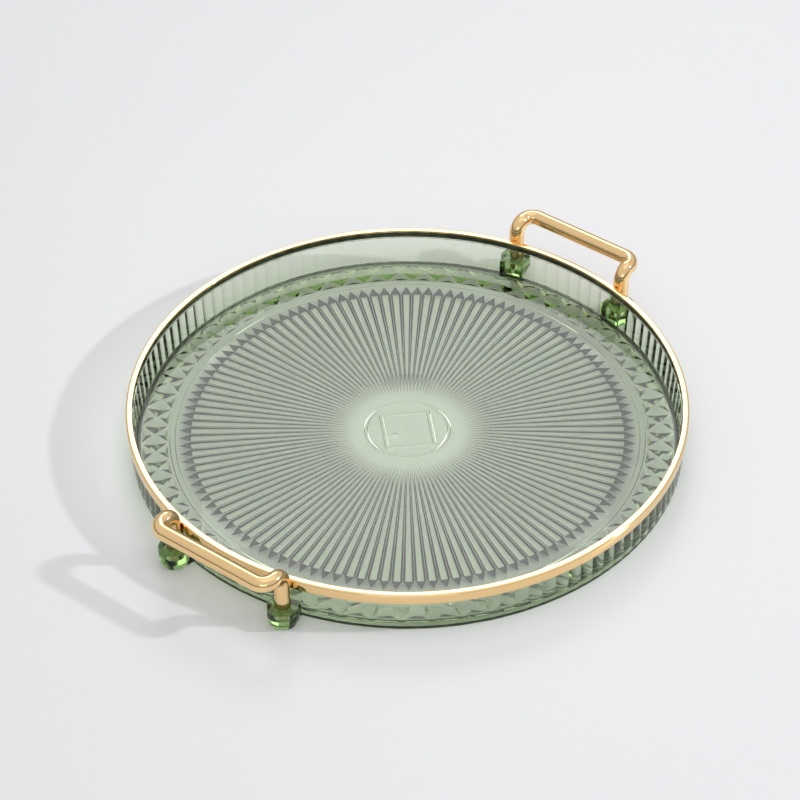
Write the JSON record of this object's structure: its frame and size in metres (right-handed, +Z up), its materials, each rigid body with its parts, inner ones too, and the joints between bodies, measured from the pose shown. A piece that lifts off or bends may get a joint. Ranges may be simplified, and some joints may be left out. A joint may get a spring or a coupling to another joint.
{
  "type": "round vanity tray",
  "caption": "Low round tray with a fluted clear green wall, patterned clear floor, gold rim and upright gold bar handles, for keeping scent bottles and small things on a dresser.",
  "frame": {"origin": "centre of the tray's foot, on the plane of the table that it stands on", "axes": "+Z up, square to the tray's floor; +Y from the front handle to the rear handle; +X to the right, along the grips"},
  "size_m": [0.3, 0.3348, 0.0371],
  "materials": {
    "green_clear_plastic": "polished clear green plastic, polystyrene or acrylic, moulded in one piece",
    "gold_trim": "bright polished gold plating",
    "gold_handle": "bright polished gold plating"
  },
  "bodies": {
    "tray": {"tray_body": "green_clear_plastic", "rim_trim": "gold_trim"},
    "front_handle": {"handle_front": "gold_handle"},
    "rear_handle": {"handle_rear": "gold_handle"}
  },
  "joints": [
    {"name": "front_handle_lift", "type": "slide", "parent": "tray", "child": "front_handle", "axis": [0, 0, 1], "range_m": [0, 0.008]},
    {"name": "rear_handle_lift", "type": "slide", "parent": "tray", "child": "rear_handle", "axis": [0, 0, 1], "range_m": [0, 0.008]}
  ]
}
